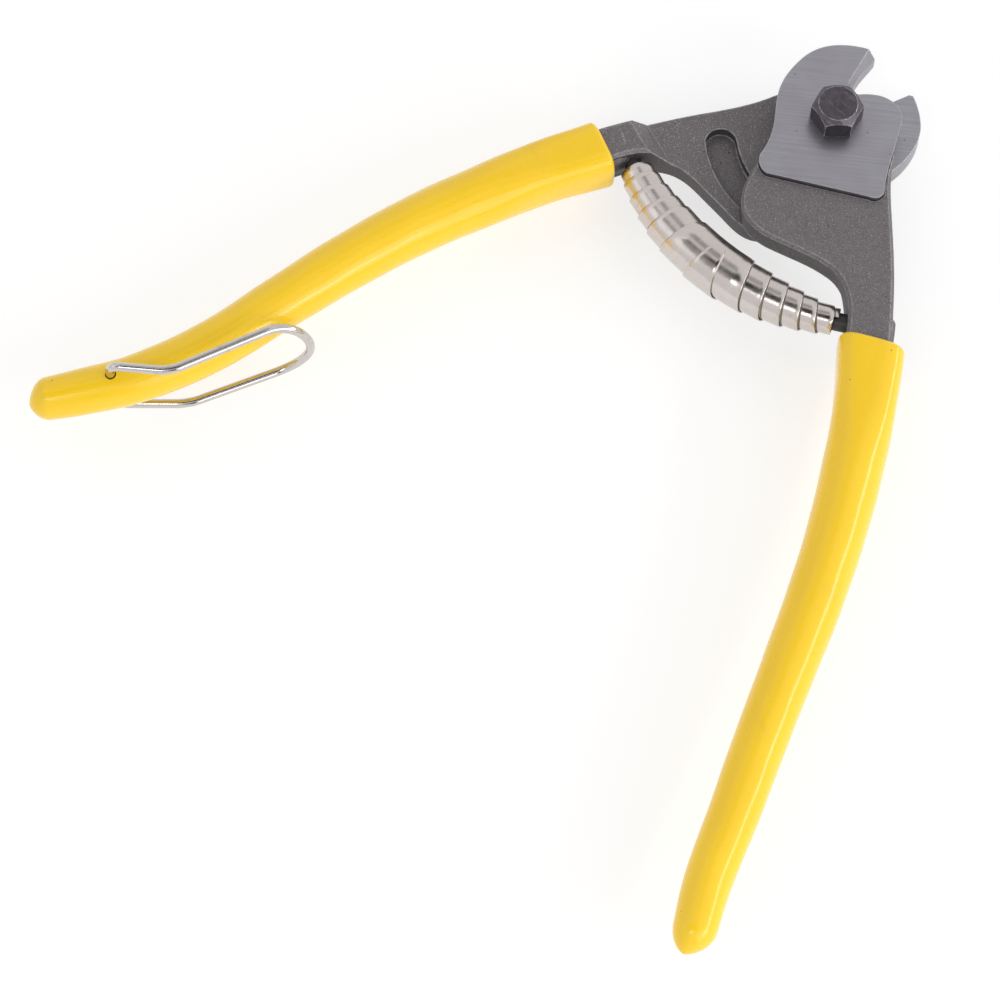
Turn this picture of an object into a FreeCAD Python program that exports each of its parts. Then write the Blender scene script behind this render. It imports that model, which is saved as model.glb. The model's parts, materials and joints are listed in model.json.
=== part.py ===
import FreeCAD, Part
import math
import os

# Spring-loaded hand nippers with two hooked bypass blades on one pivot bolt. Millimetres, +Z up.
# The origin lies on the pivot axis at the flat threaded end of the bolt. +Y runs forward through
# the open mouth and the handles run back along -Y. The pose is the open one, against the stop.

V = FreeCAD.Vector
UP = V(0, 0, 1)
ORIGIN = V(0, 0, 0)

# Stack of plates along the pivot axis
bolt_proud = 1.2          # threaded end beyond the nut
nut_height = 5.8
nut_gap = 0.06            # nut face to the turning rear blade
blade_thick = 6.2         # front blade
rear_blade_thick = 5.2
shear_gap = 0.05          # running gap between the two halves of the lap joint
shear_z = bolt_proud + nut_height + nut_gap + rear_blade_thick + shear_gap / 2
front_z0 = shear_z + shear_gap / 2     # inner face of the front half
rear_z0 = shear_z - shear_gap / 2      # inner face of the rear half
plate_thick = 5.1         # lever head plate
floor_thick = 2.2         # lever metal left under the blade tail
shank_drop = 4.1          # how far a lever shank reaches past the shear plane
step_run = 4.9            # length of the slanted step up to the shank
front_step = 37.2         # where each step starts, and the direction square to it
front_step_dir = 300.6
rear_step = 33.4
rear_step_dir = 247.3
edge_break = 0.65         # slope on the long side edges of a lever
pocket_gap = 0.12         # blade tail to pocket wall

# Pivot bolt and nut, M6 thread with a small hexagon
bolt_r = 3.0
pivot_bore_r = 3.05
hex_flats = 9.4
head_height = 5.6
head_face_r = 4.0         # flat disc left by the chamfer on the head
insert_height = 1.8       # nylon lock ring in the nut
insert_r = 3.9

# Pin on the front lever that runs in a curved groove in the rear lever
groove_r = 23.4
groove_width = 6.5
groove_depth = 2.4
groove_start = 225.9
groove_end = 274.9
pin_angle = 274.4
pin_r = 3.0
pin_seat = 3.2
pin_reach = 2.0

# Handles: polar direction of each tip, then stations along that line
front_dir = 299.1
rear_dir = 240.8
front_bow = [(48, 14.9), (60, 15.5), (72, 15.4), (88, 14.2), (104, 12.1), (120, 9.1), (136, 6.2),
             (152, 3.4), (164, 1.2), (177, 0.0)]
rear_bow = [(48, 12.2), (60, 12.6), (72, 11.8), (88, 10.3), (104, 7.2), (120, 3.2), (136, -1.1),
            (152, -2.6), (164, -1.6), (174, 0.0)]
front_radii = [(48, 6.75), (60, 6.3), (72, 6.2), (88, 5.92), (104, 5.7), (120, 5.4), (136, 5.18),
               (152, 4.93), (164, 4.66), (177, 4.1)]
rear_radii = [(48, 6.95), (60, 6.45), (72, 6.35), (88, 6.1), (104, 5.83), (120, 5.5), (136, 5.25),
              (152, 4.95), (164, 4.68), (174, 4.15)]
grip_wall = 2.6
rim_wall = 1.0            # vinyl round the lever shank just inside the rim
tang_start = 42
tang_end = 166
front_rim = 48.3
rear_rim = 46.2
front_rim_tilt = -9       # turn of each rim face away from square, degrees
rear_rim_tilt = 4.5
nib_r = 1.1

# Volute spring: an arc of nested strip turns between the two levers
spring_arc_r = 57.9
spring_arc_x = 2.0
spring_arc_y = 17.7
spring_lean = -1.5           # middle of the arc, degrees from straight back
spring_half_angle = 27.0
spring_front_end_r = 2.95
spring_rear_end_r = 3.35
spring_mid_r = 5.6
spring_swell = 1.7          # the half by the rear lever swells sooner
spring_bore_r = 2.3
spring_bands = 15
peg_r = 1.9
peg_reach = 5.0
peg_seat = 3.2

# Latch bail of round wire, hinged through the rear grip
wire_r = 0.95
bail_bore_r = 1.0
bail_station = 157.5
bail_half_width = 8.6
bail_upper = [(10.0, 6.9), (18.7, 25.6)]    # upper leg: its bend and its end, from the hinge
bail_lower = [(11.0, 9.2), (19.6, 25.4)]    # lower leg, bent a little further out
bail_tip = (24.4, 32.0)                     # middle of the round end


def polar(radius, angle):
    a = math.radians(angle)
    return (radius * math.cos(a), radius * math.sin(a))


def at(xy, z):
    return V(xy[0], xy[1], z)


def chain(z, start, pieces):
    """Closed face at height z. A piece of one point is a line, of two an arc, of more a run of arcs."""
    edges = []
    here = start
    for piece in pieces:
        points = [at(here, z)] + [at(p, z) for p in piece]
        if len(points) == 2:
            edges.append(Part.makeLine(points[0], points[1]))
        elif len(points) == 3:
            edges.append(Part.Arc(points[0], points[1], points[2]).toShape())
        else:
            curve = Part.BSplineCurve()
            curve.interpolate(points)
            edges += [arc.toShape() for arc in curve.toBiArcs(0.02)]
        here = piece[-1]
    return Part.Face(Part.Wire(edges))


def prism(z0, z1, start, pieces):
    return chain(z0, start, pieces).extrude(V(0, 0, z1 - z0))


def grown_prism(z0, z1, start, pieces, gap):
    """Like prism, with the outline moved outward by gap."""
    face = chain(z0, start, pieces)
    return face.makeOffset2D(gap).extrude(V(0, 0, z1 - z0))


def cylinder(radius, z0, z1, xy=(0, 0)):
    return Part.makeCylinder(radius, z1 - z0, at(xy, z0), UP)


def station(direction, along, bow, outward):
    """Point on a handle: along its tip line, then bow millimetres away from the other handle."""
    ux, uy = polar(1, direction)
    nx, ny = polar(1, direction + 90 * outward)
    return (along * ux + bow * nx, along * uy + bow * ny)


def interpolate(table, x):
    """Smooth value of a table of (x, value) stations."""
    curve = Part.BSplineCurve()
    curve.interpolate([V(a, b, 0) for a, b in table])
    low, high = curve.FirstParameter, curve.LastParameter
    for _ in range(40):
        mid = (low + high) / 2
        if curve.value(mid).x < x:
            low = mid
        else:
            high = mid
    return curve.value(low).y


def rod(path, radii, tilt=0):
    """Round rod of changing radius through the path points, its first end face tilted."""
    curve = Part.BSplineCurve()
    curve.interpolate(path)
    wires = []
    for point, radius in zip(path, radii):
        normal = curve.tangent(curve.parameter(point))[0]
        if not wires:
            normal = FreeCAD.Rotation(UP, tilt).multVec(normal)
        wires.append(Part.Wire(Part.makeCircle(radius, point, normal)))
    return Part.makeLoft(wires, True)


# Front lever outline: ring round the pivot, inner edge, shank, outer edge
front_lever_start = (0, 6.0)
front_lever_edge = [
    [(-4.243, 4.243), (-6.0, 0)],
    [(-6.4, -16.5)],
    [(-5.1, -23.5), (-3.2, -27.2), (-0.6, -29.4), (2.4, -30.3), (6.8, -30.0), (13.1, -28.6),
     (18.4, -27.8), (22.0, -28.0), (24.9, -29.3), (27.3, -31.2), (29.6, -34.0), (31.7, -37.4)],
    [(35.7, -44.1)],
    [(44.0, -39.6)],
    [(39.9, -33.2), (35.7, -27.1), (31.5, -21.3), (27.6, -16.4), (22.4, -10.2), (17.6, -4.2),
     (14.9, 0.4)],
    [(12.4, 3.8)],
    [(0, 6.0)],
]

# Rear lever outline, the same idea on the other side
rear_lever_start = (0, 6.0)
rear_lever_edge = [
    [(4.243, 4.243), (6.0, 0)],
    [(6.4, -16.5)],
    [(5.8, -22.0), (4.4, -26.0), (2.2, -28.4), (-0.8, -29.3), (-6.0, -28.7), (-12.5, -27.6),
     (-17.0, -27.0), (-20.6, -27.4), (-23.4, -28.7), (-25.9, -30.6), (-28.9, -34.3), (-30.7, -38.1)],
    [(-34.6, -44.8)],
    [(-41.8, -40.8)],
    [(-36.9, -32.9), (-32.9, -26.6), (-30.6, -23.4), (-25.2, -16.0), (-19.6, -8.9), (-14.6, -0.6)],
    [(-12.0, 3.2)],
    [(0, 6.0)],
]

# Front blade: outer curve, tail corner, tail edge, corner, flank, shoulder, mouth edge, tip
front_blade_start = (-4.4, 17.4)
front_blade_edge = [
    [(-7.1, 16.15), (-9.8, 14.3), (-11.9, 12.1), (-13.5, 8.9), (-14.1, 4.5), (-13.8, 0.4),
     (-12.5, -3.4), (-10.7, -6.4), (-8.7, -9.6), (-7.4, -12.6), (-6.6, -16.4)],
    [(-5.55, -18.4), (-2.9, -19.45)],
    [(16.5, -10.4)],
    [(18.15, -9.2), (18.15, -7.3)],
    [(15.2, -1.8), (13.1, 3.2), (11.4, 6.9)],
    [(10.4, 8.7), (8.9, 9.9), (6.9, 10.4), (4.8, 10.2), (2.6, 9.2), (0.8, 7.8)],
    [(-0.9, 7.1), (-2.1, 8.4)],
    [(-2.85, 11.4), (-3.05, 14.0), (-3.15, 17.8)],
    [(-4.4, 17.4)],
]

# Rear blade: the hook is a touch longer, the tail a touch narrower
rear_blade_start = (7.4, 17.6)
rear_blade_edge = [
    [(9.4, 16.3), (12.2, 13.8), (13.8, 11.6), (14.8, 8.9), (15.3, 5.2), (14.8, 0.6),
     (13.2, -3.4), (11.0, -6.8), (9.0, -9.9), (7.6, -12.8), (6.9, -16.6)],
    [(5.9, -18.6), (3.2, -19.6)],
    [(-14.4, -11.3)],
    [(-16.3, -9.9), (-16.3, -7.9)],
    [(-13.9, -2.0), (-11.8, 3.2), (-10.1, 6.9)],
    [(-9.2, 8.6), (-7.9, 9.7), (-6.1, 10.2), (-4.2, 10.0), (-2.2, 9.0), (-0.4, 7.7)],
    [(1.3, 7.2), (2.7, 8.8)],
    [(3.9, 11.3), (5.0, 13.7), (6.6, 17.2)],
    [(7.4, 17.6)],
]


def shank_block(z0, z1, far_z, slope_dir, along):
    """Box that keeps only the shank part of a lever, with a slanted end at the step."""
    ux, uy = polar(1, slope_dir)
    profile = [V(along, 0, z0), V(along + 60, 0, z0), V(along + 60, 0, z1), V(along + far_z, 0, z1)]
    wire = Part.makePolygon(profile + [profile[0]])
    block = Part.Face(wire).extrude(V(0, 120, 0))
    block.translate(V(0, -60, 0))
    block.rotate(ORIGIN, UP, math.degrees(math.atan2(uy, ux)))
    return block


def tang(direction, bow, table, outward):
    """Tapered round rod under the grip."""
    path = []
    radii = []
    along = tang_start
    while along <= tang_end:
        spot = station(direction, along, interpolate(bow, max(along, 48)), outward)
        path.append(at(spot, shear_z))
        radii.append(interpolate(table, max(along, 48)) - grip_wall)
        along += (tang_end - tang_start) / 12
    return rod(path, radii)


def rim_core(direction, bow, table, outward, first, wall, tilt):
    """Short rod along the handle from the rim, wall millimetres inside the grip's surface."""
    path, radii = handle_path(direction, bow, table, outward, first, 64, 5)
    return rod(path, [radius - wall for radius in radii], tilt)


def rim_sleeve(direction, bow, table, outward, rim, tilt):
    """Tube that trims the lever shank where the grip covers it."""
    core = rim_core(direction, bow, table, outward, rim, rim_wall, tilt)
    return rim_core(direction, bow, table, outward, rim, -8, tilt).cut(core)


def broken_edges(solid, z, size):
    """Chamfer the long side edges of the flat face at height z."""
    edges = []
    for edge in solid.Edges:
        box = edge.BoundBox
        flat = abs(box.ZMin - z) < 1e-4 and abs(box.ZMax - z) < 1e-4
        reach = math.hypot(edge.CenterOfMass.x, edge.CenterOfMass.y)
        if flat and 20 < reach < 50:
            edges.append(edge)
    return solid.makeChamfer(size, edges)


def front_stock():
    """Front lever outline at the full depth of its shank."""
    bottom = shear_z - shank_drop
    return prism(bottom, front_z0 + plate_thick, front_lever_start, front_lever_edge)


def rear_stock():
    bottom = rear_z0 - plate_thick
    return prism(bottom, shear_z + shank_drop, rear_lever_start, rear_lever_edge)


def make_lever_front():
    top = front_z0 + plate_thick
    bottom = shear_z - shank_drop
    whole = broken_edges(broken_edges(front_stock(), top, edge_break), bottom, edge_break)
    head = prism(front_z0, top + 1, front_lever_start, front_lever_edge)
    shank = shank_block(front_z0, bottom - 1, step_run, front_step_dir, front_step)
    keep = whole.common(head.fuse(shank.fuse(shank_top(top, front_z0, front_step_dir, front_step))))
    keep = keep.cut(rim_sleeve(front_dir, front_bow, front_radii, 1, front_rim, front_rim_tilt))
    lever = keep.fuse(tang(front_dir, front_bow, front_radii, 1))
    lever = lever.cut(grown_prism(front_z0 + floor_thick, top + 5, front_blade_start,
                                  front_blade_edge, pocket_gap))
    lever = lever.cut(cylinder(pivot_bore_r, front_z0 - 1, top + 1))
    lever = lever.cut(cylinder(pin_r, front_z0 - 1, front_z0 + pin_seat, polar(groove_r, pin_angle)))
    lever = lever.cut(peg_cylinder(1, peg_r))
    return lever.removeSplitter()


def shank_top(z0, z1, direction, along):
    block = Part.makeBox(60, 120, abs(z1 - z0), V(along, -60, min(z0, z1)))
    block.rotate(ORIGIN, UP, direction)
    return block


def groove():
    """Curved slot with round ends, concentric with the pivot."""
    z0 = rear_z0 - groove_depth
    half = groove_width / 2
    middle = (groove_start + groove_end) / 2
    inner = groove_r - half
    outer = groove_r + half
    cap_end = polar(groove_r, groove_end + math.degrees(half / groove_r))
    cap_start = polar(groove_r, groove_start - math.degrees(half / groove_r))
    return prism(z0, rear_z0 + 1, polar(inner, groove_start), [
        [polar(inner, middle), polar(inner, groove_end)],
        [cap_end, polar(outer, groove_end)],
        [polar(outer, middle), polar(outer, groove_start)],
        [cap_start, polar(inner, groove_start)],
    ])


def make_lever_rear():
    top = shear_z + shank_drop
    bottom = rear_z0 - plate_thick
    whole = broken_edges(broken_edges(rear_stock(), top, edge_break), bottom, edge_break)
    head = prism(bottom - 1, rear_z0, rear_lever_start, rear_lever_edge)
    shank = shank_block(rear_z0, top + 1, step_run, rear_step_dir, rear_step)
    keep = whole.common(head.fuse(shank.fuse(shank_top(bottom, rear_z0, rear_step_dir, rear_step))))
    keep = keep.cut(rim_sleeve(rear_dir, rear_bow, rear_radii, -1, rear_rim, rear_rim_tilt))
    lever = keep.fuse(tang(rear_dir, rear_bow, rear_radii, -1))
    lever = lever.cut(grown_prism(bottom - 5, rear_z0 - floor_thick, rear_blade_start,
                                  rear_blade_edge, pocket_gap))
    lever = lever.cut(cylinder(pivot_bore_r, bottom - 1, rear_z0 + 1))
    lever = lever.cut(groove())
    lever = lever.cut(peg_cylinder(-1, peg_r))
    lever = lever.cut(bail_hole())
    return lever.removeSplitter()


def mouth_bevel(tip, throat, z_face, z_edge, side):
    """Wedge that bevels the mouth edge of a blade from its outer face."""
    over = 1.3 if z_face > z_edge else -1.3
    wide_tip = 1.7
    wide_throat = 0.9
    wires = []
    for (x, y), wide in ((throat, wide_throat), (tip, wide_tip)):
        slope = wide / (z_face - z_edge)
        points = [V(x + side * 0.02, y, z_edge),
                  V(x - side * (wide + slope * over), y, z_face + over),
                  V(x + side * 2.2, y, z_face + over),
                  V(x + side * 2.2, y, z_edge)]
        wires.append(Part.makePolygon(points + [points[0]]))
    return Part.makeLoft(wires, True, True)


def make_blade_front():
    top = front_z0 + blade_thick
    blade = prism(front_z0, top, front_blade_start, front_blade_edge)
    blade = blade.cut(grown_prism(front_z0 - 1, front_z0 + floor_thick, front_lever_start,
                                  front_lever_edge, pocket_gap))
    blade = blade.cut(cylinder(pivot_bore_r, front_z0 - 1, top + 1))
    blade = blade.cut(mouth_bevel((-3.3, 19.0), (-2.2, 8.2), top, front_z0 + 3.0, 1))
    return blade


def make_blade_rear():
    bottom = rear_z0 - rear_blade_thick
    blade = prism(bottom, rear_z0, rear_blade_start, rear_blade_edge)
    blade = blade.cut(grown_prism(rear_z0 - floor_thick, rear_z0 + 1, rear_lever_start,
                                  rear_lever_edge, pocket_gap))
    blade = blade.cut(cylinder(pivot_bore_r, bottom - 1, rear_z0 + 1))
    blade = blade.cut(mouth_bevel((7.3, 18.6), (2.6, 8.6), bottom, rear_z0 - 3.0, -1))
    return blade


def hexagon(z0, height):
    points = [at(polar(hex_flats / math.sqrt(3), 60 * i + 40), z0) for i in range(7)]
    return Part.Face(Part.makePolygon(points)).extrude(V(0, 0, height))


def make_pivot_bolt():
    head_z = front_z0 + blade_thick
    head = hexagon(head_z, head_height)
    cone_low = hex_flats / math.sqrt(3) + 0.6
    drop = 2.1
    dome = Part.makeCone(cone_low, head_face_r, drop, V(0, 0, head_z + head_height - drop), UP)
    body = Part.makeCylinder(cone_low, head_height - drop, V(0, 0, head_z), UP)
    head = head.common(body.fuse(dome))
    shank = cylinder(bolt_r, 0.6, head_z + 1)
    point = Part.makeCone(bolt_r - 0.6, bolt_r, 0.6, ORIGIN, UP)
    return head.fuse(shank).fuse(point).removeSplitter()


def make_pivot_nut():
    nut = hexagon(bolt_proud, nut_height)
    cone = Part.makeCone(4.6, 6.2, 1.6, V(0, 0, bolt_proud), UP)
    rest = cylinder(6.2, bolt_proud + 1.6, bolt_proud + nut_height)
    nut = nut.common(cone.fuse(rest))
    nut = nut.cut(cylinder(bolt_r, 0, 20))
    return nut.cut(cylinder(insert_r, bolt_proud + 0.5, bolt_proud + 0.5 + insert_height))


def make_nut_lock_ring():
    z0 = bolt_proud + 0.5
    return cylinder(insert_r, z0, z0 + insert_height).cut(cylinder(bolt_r, z0 - 1, z0 + 4))


def make_guide_pin():
    spot = polar(groove_r, pin_angle)
    return cylinder(pin_r, front_z0 - pin_reach, front_z0 + pin_seat, spot)


def spring_point(angle):
    """Point on the spring centreline; angle 0 is the middle, positive towards the front lever."""
    x, y = polar(spring_arc_r, 270 + spring_lean + angle)
    return V(spring_arc_x + x, spring_arc_y + y, shear_z)


def spring_tangent(angle):
    return at(polar(1, spring_lean + angle), 0)


def peg_cylinder(side, radius):
    """Peg that stands out of a lever shank into the end of the spring."""
    foot = spring_point(side * spring_half_angle)
    outward = spring_tangent(side * spring_half_angle) * side
    start = foot + outward * peg_depth(side)
    return Part.makeCylinder(radius, peg_depth(side) + peg_reach, start, outward * -1)


def peg_depth(side):
    return peg_seat + (2.0 if side > 0 else 3.0)


def spring_band(start, finish, radius):
    wires = []
    for angle in (start, finish):
        wires.append(Part.Wire(Part.makeCircle(radius, spring_point(angle), spring_tangent(angle))))
    return Part.makeLoft(wires, True, True)


def make_volute_spring():
    step = 2 * spring_half_angle / spring_bands
    bands = []
    for band in range(spring_bands):
        start = -spring_half_angle + band * step
        taper = abs(2 * band / (spring_bands - 1) - 1)
        end_r = spring_front_end_r
        if 2 * band < spring_bands:
            taper = taper ** spring_swell
            end_r = spring_rear_end_r
        radius = spring_mid_r - (spring_mid_r - end_r) * taper
        lap = 0.1 if band < spring_bands - 1 else 0
        bands.append(spring_band(start, start + step + lap, radius))
    outer = bands[0].multiFuse(bands[1:])
    wires = []
    for k in range(9):
        angle = (spring_half_angle + 1) * (k - 4) / 4
        circle = Part.makeCircle(spring_bore_r, spring_point(angle), spring_tangent(angle))
        wires.append(Part.Wire(circle))
    return outer.cut(Part.makeLoft(wires, True)).removeSplitter()


def handle_path(direction, bow, table, outward, first, last, count):
    path = []
    radii = []
    for k in range(count):
        along = first + (last - first) * k / (count - 1)
        spot = station(direction, along, interpolate(bow, along), outward)
        path.append(at(spot, shear_z))
        radii.append(interpolate(table, along))
    return path, radii


def end_circle(solid, point):
    """The circular edge of the rod end nearest to the point."""
    circles = [e for e in solid.Edges if e.Closed]
    return min(circles, key=lambda e: (e.CenterOfMass - point).Length)


def make_grip(direction, bow, table, outward, rim, tilt, stock):
    path, radii = handle_path(direction, bow, table, outward, rim, bow[-1][0], 14)
    grip = rod(path, radii, tilt)
    grip = grip.makeFillet(1.4, [end_circle(grip, path[0])])
    grip = grip.makeFillet(radii[-1] * 0.8, [end_circle(grip, path[-1])])
    past = (path[-1] - path[-2]).normalize()
    nib = Part.makeSphere(nib_r, path[-1] + past * 0.3)
    core = rim_core(direction, bow, table, outward, rim - 1.0, rim_wall, tilt)
    return grip.fuse(nib).cut(tang(direction, bow, table, outward)).cut(stock.common(core))


def bail_hinge():
    return station(rear_dir, bail_station, interpolate(rear_bow, bail_station), -1)


def bail_hole():
    return cylinder(bail_bore_r, shear_z - 20, shear_z + 20, bail_hinge())


def make_latch_bail():
    upper = bail_half(1, bail_upper)
    lower = bail_half(-1, bail_lower)
    return upper.fuse(lower).removeSplitter()


def bail_half(side, bends):
    """Half of the wire, from the middle of the hinge bar to the middle of the round end."""
    hx, hy = bail_hinge()
    level = shear_z + side * bail_half_width
    middle = V(hx, hy, shear_z)
    foot = V(hx, hy, level)
    knee = V(hx + bends[0][0], hy + bends[0][1], level)
    end = V(hx + bends[1][0], hy + bends[1][1], level)
    tip = V(hx + bail_tip[0], hy + bail_tip[1], shear_z)
    bend = 2.4
    towards = (knee - foot).normalize()
    along = (end - knee).normalize()
    edges = []
    edges.append(Part.makeLine(middle, foot - UP * side * bend))
    edges.append(corner(foot, UP * -side, towards, bend))
    edges.append(Part.makeLine(foot + towards * bend, knee - towards * bend))
    edges.append(corner(knee, towards * -1, along, bend))
    edges.append(Part.makeLine(knee + along * bend, end))
    edges.append(round_end(end, along, tip, side))
    sweep = Part.BRepOffsetAPI.MakePipeShell(Part.Wire(edges))
    sweep.add(Part.Wire(Part.makeCircle(wire_r, middle, UP)))
    sweep.setFrenetMode(True)
    sweep.build()
    sweep.makeSolid()
    return sweep.shape()


def corner(point, back, ahead, size):
    """Curve that rounds a bend in the wire at the point."""
    start = point + back * size
    finish = point + ahead * size
    curve = Part.BezierCurve()
    curve.setPoles([start, start - back * size * 0.55, finish - ahead * size * 0.55, finish])
    return curve.toShape()


def round_end(start, along, tip, side):
    """Quarter of the round end, from a leg to the middle of the loop."""
    reach = (tip - start).dot(along)
    curve = Part.BezierCurve()
    curve.setPoles([start, start + along * reach * 0.6,
                    tip + UP * side * bail_half_width * 0.55, tip])
    return curve.toShape()


os.makedirs("parts", exist_ok=True)
lever_front = make_lever_front()
lever_rear = make_lever_rear()
grip_rear = make_grip(rear_dir, rear_bow, rear_radii, -1, rear_rim, rear_rim_tilt, rear_stock())
grip_rear = grip_rear.cut(bail_hole())
shapes = {
    "lever_front": lever_front,
    "lever_rear": lever_rear,
    "blade_front": make_blade_front(),
    "blade_rear": make_blade_rear(),
    "pivot_bolt": make_pivot_bolt(),
    "pivot_nut": make_pivot_nut(),
    "nut_lock_ring": make_nut_lock_ring(),
    "guide_pin": make_guide_pin(),
    "spring_peg_front": peg_cylinder(1, peg_r),
    "spring_peg_rear": peg_cylinder(-1, peg_r),
    "volute_spring": make_volute_spring(),
    "grip_front": make_grip(front_dir, front_bow, front_radii, 1, front_rim, front_rim_tilt,
                            front_stock()),
    "grip_rear": grip_rear,
    "latch_bail": make_latch_bail(),
}
for name, shape in shapes.items():
    shape.exportStep("parts/" + name + ".step")
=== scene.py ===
import json
import math

import bmesh
import bpy
import numpy as np
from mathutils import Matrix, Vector


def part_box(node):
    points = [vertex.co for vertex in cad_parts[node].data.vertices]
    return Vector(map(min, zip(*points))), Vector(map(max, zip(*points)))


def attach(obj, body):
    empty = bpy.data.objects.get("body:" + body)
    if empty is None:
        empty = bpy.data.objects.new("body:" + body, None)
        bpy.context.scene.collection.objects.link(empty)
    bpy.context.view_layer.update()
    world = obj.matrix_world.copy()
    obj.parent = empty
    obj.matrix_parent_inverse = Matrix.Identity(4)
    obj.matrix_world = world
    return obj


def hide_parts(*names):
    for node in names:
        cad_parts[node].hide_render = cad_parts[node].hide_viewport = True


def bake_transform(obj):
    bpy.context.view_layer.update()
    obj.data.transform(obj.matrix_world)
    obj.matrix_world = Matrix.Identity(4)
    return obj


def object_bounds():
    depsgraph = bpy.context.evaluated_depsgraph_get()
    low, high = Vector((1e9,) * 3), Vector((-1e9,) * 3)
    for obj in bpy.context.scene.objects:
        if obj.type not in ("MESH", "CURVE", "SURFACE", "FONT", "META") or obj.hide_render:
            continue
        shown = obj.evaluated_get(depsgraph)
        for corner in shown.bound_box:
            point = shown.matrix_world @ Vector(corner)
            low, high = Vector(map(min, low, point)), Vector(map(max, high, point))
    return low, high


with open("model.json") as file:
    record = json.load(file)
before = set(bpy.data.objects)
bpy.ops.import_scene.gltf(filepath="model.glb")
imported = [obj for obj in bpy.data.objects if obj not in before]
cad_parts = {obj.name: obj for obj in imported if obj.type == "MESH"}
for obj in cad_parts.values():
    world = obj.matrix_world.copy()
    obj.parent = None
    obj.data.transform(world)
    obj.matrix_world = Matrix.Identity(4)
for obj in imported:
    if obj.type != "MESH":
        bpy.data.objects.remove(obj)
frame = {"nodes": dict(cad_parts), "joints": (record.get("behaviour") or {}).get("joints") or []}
cad_low, cad_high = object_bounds()

MM = 0.001
spring_low, spring_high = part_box("volute_spring")
SHEAR_Z = (spring_low.z + spring_high.z) / 2      # the plane between the two levers
joints = {joint["name"]: joint for joint in frame["joints"]}
HINGE = Vector(joints["bail_swing"]["pos_m"])
HINGE_HOLE = 1.12        # radius of the hole for the latch's wire

# Handle centre lines and radii, the same design stations as the CAD grips, in millimetres
FRONT_DIR = 299.1
REAR_DIR = 240.8
FRONT_BOW = [(48, 14.9), (60, 15.5), (72, 15.4), (88, 14.2), (104, 12.1), (120, 9.1), (136, 6.2),
             (152, 3.4), (164, 1.2), (177, 0.0)]
REAR_BOW = [(48, 12.2), (60, 12.6), (72, 11.8), (88, 10.3), (104, 7.2), (120, 3.2), (136, -1.1),
            (152, -2.6), (164, -1.6), (174, 0.0)]
FRONT_RADII = [(48, 6.75), (60, 6.3), (72, 6.2), (88, 5.92), (104, 5.7), (120, 5.4), (136, 5.18),
               (152, 4.93), (164, 4.66), (177, 4.1)]
REAR_RADII = [(48, 6.95), (60, 6.45), (72, 6.35), (88, 6.1), (104, 5.83), (120, 5.5), (136, 5.25),
              (152, 4.95), (164, 4.68), (174, 4.15)]
FRONT_RIM = 48.3
REAR_RIM = 46.2
FRONT_TILT = -9.0        # turn of each rim face away from square, degrees
REAR_TILT = 4.5

# Volute spring: the CAD arc, where each turn's edge lies from the middle of it, and the radii
ARC_R = 57.9
ARC_CENTRE = (2.0, 17.7)
ARC_LEAN = -1.5
STRIP = 0.30             # thickness of the strip
FRONT_EDGES = [8.0, 12.5, 16.6, 20.2, 23.4, 27.2]
REAR_EDGES = [8.7, 13.7, 17.1, 20.9, 24.5, 27.2]
FRONT_COILS = [5.80, 5.42, 4.98, 4.52, 4.04, 3.54, 3.00]
REAR_COILS = [5.80, 5.42, 5.08, 4.68, 4.28, 3.88, 3.45]
TONGUE_START = -0.06     # the strip's outer end, in turns from the top of the spring
TURN_WIDTH = 6.0         # width of strip in the first turns of an arm
LAST_WIDTH = 6.8         # and in its last turns
MIDDLE_END = 1.5         # where the middle turn stops, in turns
FRONT_CONE = (0.02, 0.04)     # radius added at a turn's rear and front edge
REAR_CONE = (0.0, 0.05)
END_COIL = (6.5, 7.02)   # the last half turn at the front peg, from and to
END_BEHIND = 4.5         # its edges, behind and past the last turn's edge
END_PAST = 0.9
REAR_TUCK = 0.22         # the painted seam shade of the middle and rear turns is shifted in by this much


# ---------------------------------------------------------------- geometry helpers

def table_value(table, x):
    """Smooth value of a table of (x, value) stations."""
    xs = [row[0] for row in table]
    ys = [row[1] for row in table]
    k = min(max(sum(1 for station in xs if station <= x) - 1, 0), len(xs) - 2)
    slopes = []
    for i in (k, k + 1):
        low = max(i - 1, 0)
        high = min(i + 1, len(xs) - 1)
        slopes.append((ys[high] - ys[low]) / (xs[high] - xs[low]))
    width = xs[k + 1] - xs[k]
    t = (x - xs[k]) / width
    if t < 0:
        return ys[k] + slopes[0] * t * width
    if t > 1:
        return ys[k + 1] + slopes[1] * (t - 1) * width
    a = 2 * t ** 3 - 3 * t ** 2 + 1
    b = t ** 3 - 2 * t ** 2 + t
    c = 3 * t ** 2 - 2 * t ** 3
    d = t ** 3 - t ** 2
    return a * ys[k] + b * width * slopes[0] + c * ys[k + 1] + d * width * slopes[1]


def polar(angle):
    """Unit vector in the plane of the levers, from an angle in degrees."""
    return Vector((math.cos(math.radians(angle)), math.sin(math.radians(angle)), 0))


def grip_centre(direction, bow, outward, along):
    """Point of a handle's centre line, from millimetres along its direction."""
    point = polar(direction) * along + polar(direction + 90 * outward) * table_value(bow, along)
    return Vector((point.x * MM, point.y * MM, SHEAR_Z))


def new_object(name, verts, faces):
    """A mesh object, linked to the scene."""
    mesh = bpy.data.meshes.new(name)
    mesh.from_pydata([tuple(v) for v in verts], [], faces)
    mesh.update()
    obj = bpy.data.objects.new(name, mesh)
    bpy.context.scene.collection.objects.link(obj)
    return obj


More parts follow.
